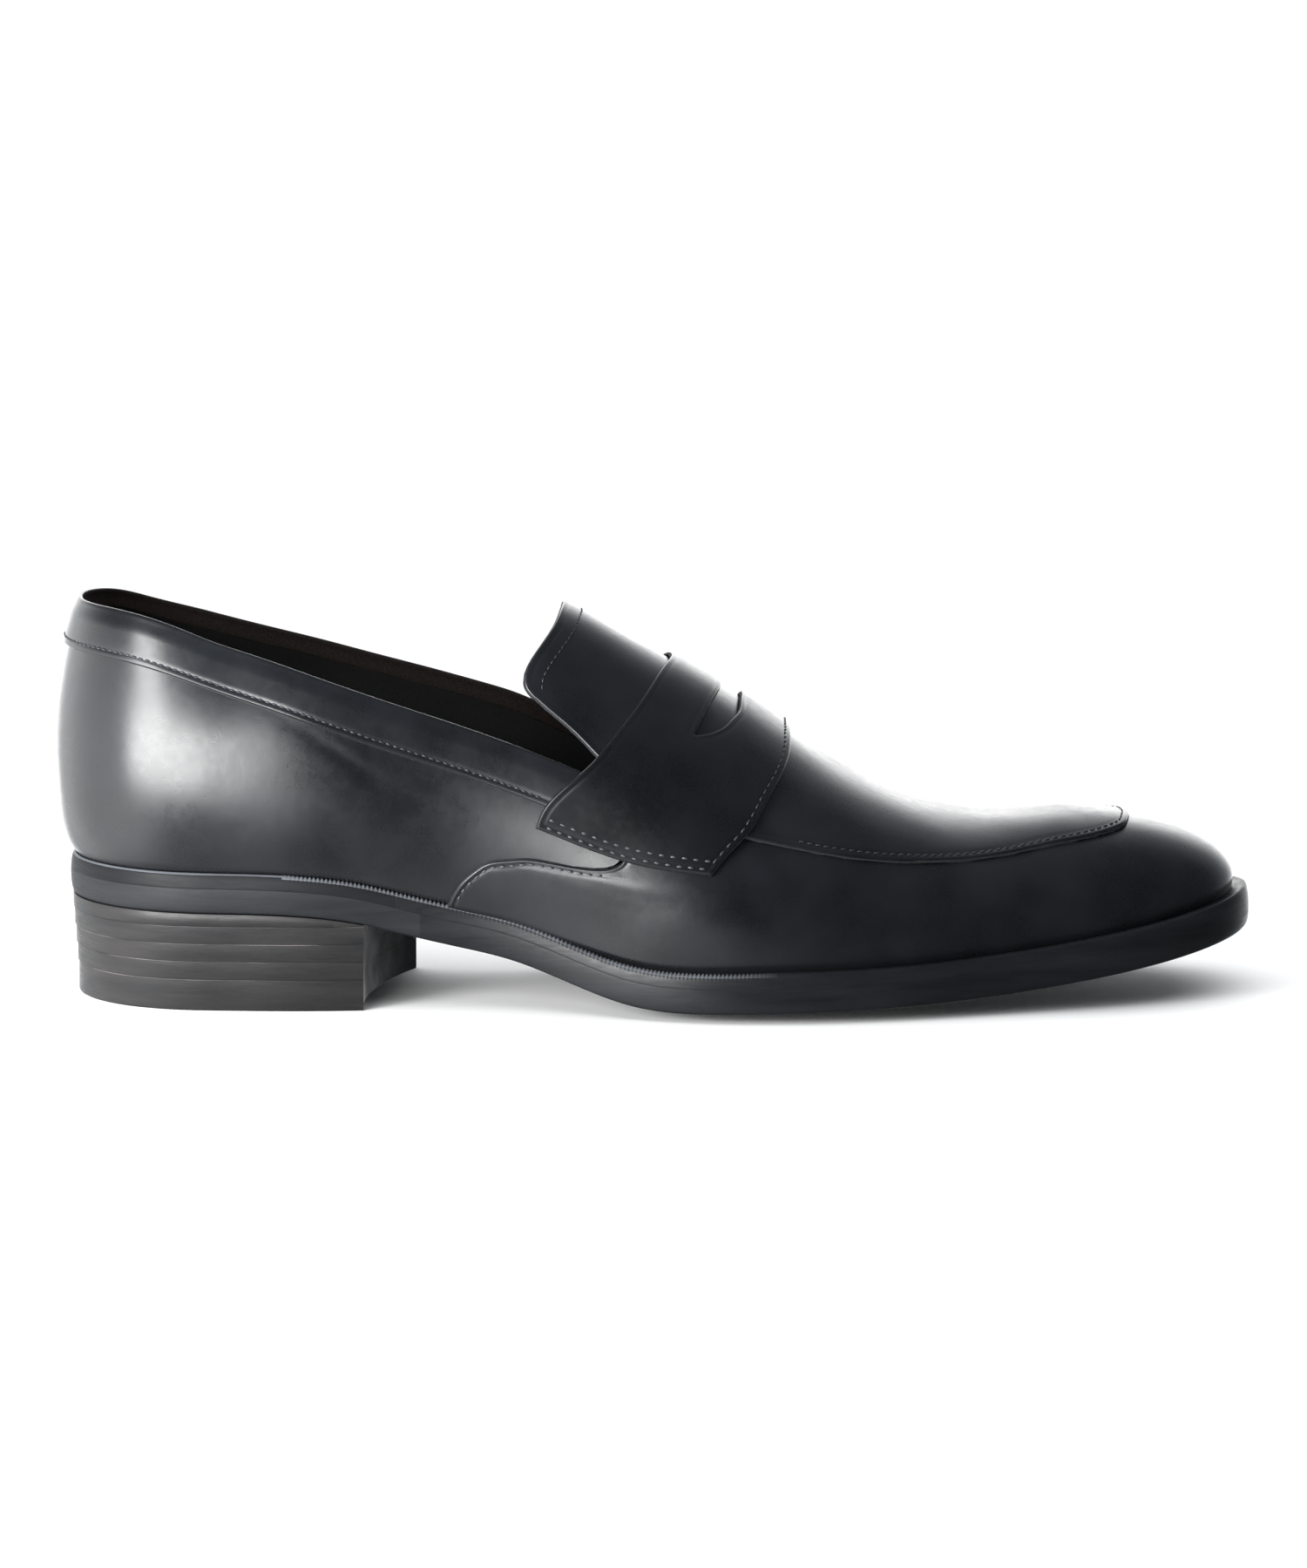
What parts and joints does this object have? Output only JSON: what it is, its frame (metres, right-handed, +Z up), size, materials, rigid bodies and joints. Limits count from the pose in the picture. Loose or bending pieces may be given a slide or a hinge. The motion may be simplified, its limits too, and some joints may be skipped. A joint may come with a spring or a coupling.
{
  "type": "penny loafer",
  "caption": "Low slip-on leather shoe for a right foot, with a seamed apron, a slotted strap over the instep, a welted sole and a stacked heel.",
  "frame": {"origin": "on the ground, under the middle of the shoe's bounding box", "axes": "+X towards the toe, +Y towards the inner (medial) side of the foot, +Z up"},
  "size_m": [0.3044, 0.1012, 0.1022],
  "materials": {
    "calf": "smooth semi-gloss",
    "lining": "matte",
    "sole_edge": "dyed, waxed edge",
    "heel_leather": "dyed, waxed edge",
    "rubber": "matte",
    "insole_board": "raw",
    "cork": "granular",
    "stiffener": "stiffened",
    "steel": "plain",
    "thread": "waxed thread"
  },
  "bodies": {
    "root": {"outsole": "sole_edge", "welt": "sole_edge", "heel_seat_rand": "sole_edge", "cork_filler": "cork", "shank": "steel", "insole": "insole_board", "sock_liner": "lining", "heel_top_piece": "rubber", "heel_lift_3": "heel_leather", "heel_lift_2": "heel_leather", "heel_lift_1": "heel_leather", "heel_wedge_lift": "heel_leather", "heel_nail_1": "steel", "heel_nail_2": "steel", "heel_nail_3": "steel", "heel_nail_4": "steel", "heel_nail_5": "steel", "quarter_lateral": "calf", "quarter_medial": "calf", "vamp": "calf", "apron": "calf", "strap": "calf", "collar_band": "calf", "heel_counter": "stiffener", "toe_puff": "stiffener", "quarter_lining": "lining", "vamp_lining": "lining", "tongue_lining": "lining", "collar_thread": "thread", "apron_thread": "thread", "tongue_thread": "thread", "strap_front_thread": "thread", "strap_end_thread_lateral_1": "thread", "strap_end_thread_lateral_2": "thread", "strap_end_thread_medial_1": "thread", "strap_end_thread_medial_2": "thread", "vamp_thread_lateral": "thread", "vamp_thread_medial": "thread"}
  },
  "joints": []
}
